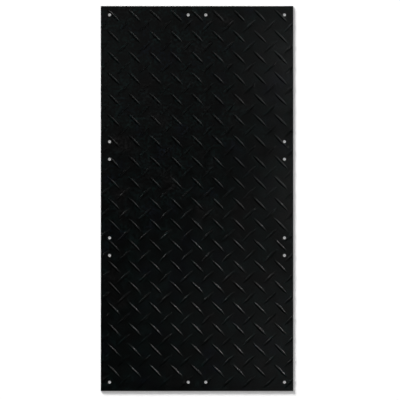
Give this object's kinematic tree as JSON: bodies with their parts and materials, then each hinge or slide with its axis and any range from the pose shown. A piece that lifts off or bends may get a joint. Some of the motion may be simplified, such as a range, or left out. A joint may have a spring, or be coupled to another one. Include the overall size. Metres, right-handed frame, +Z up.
{
  "type": "ground protection mat",
  "caption": "Flat rectangular ground protection mat of black moulded polyethylene, with a crosswise tread of raised, arched oval bars and drilled link holes along its edges.",
  "frame": {"origin": "centre of the mat's underside, on the surface that it lies on", "axes": "+Y along the mat's length, towards the end that is at the top of the picture; +X across its width, to the picture's right; +Z up, out of the tread"},
  "size_m": [1.2192, 2.4384, 0.0159],
  "materials": {
    "black_polyethylene": "satin"
  },
  "bodies": {
    "root": {"ground_mat": "black_polyethylene"}
  },
  "joints": []
}
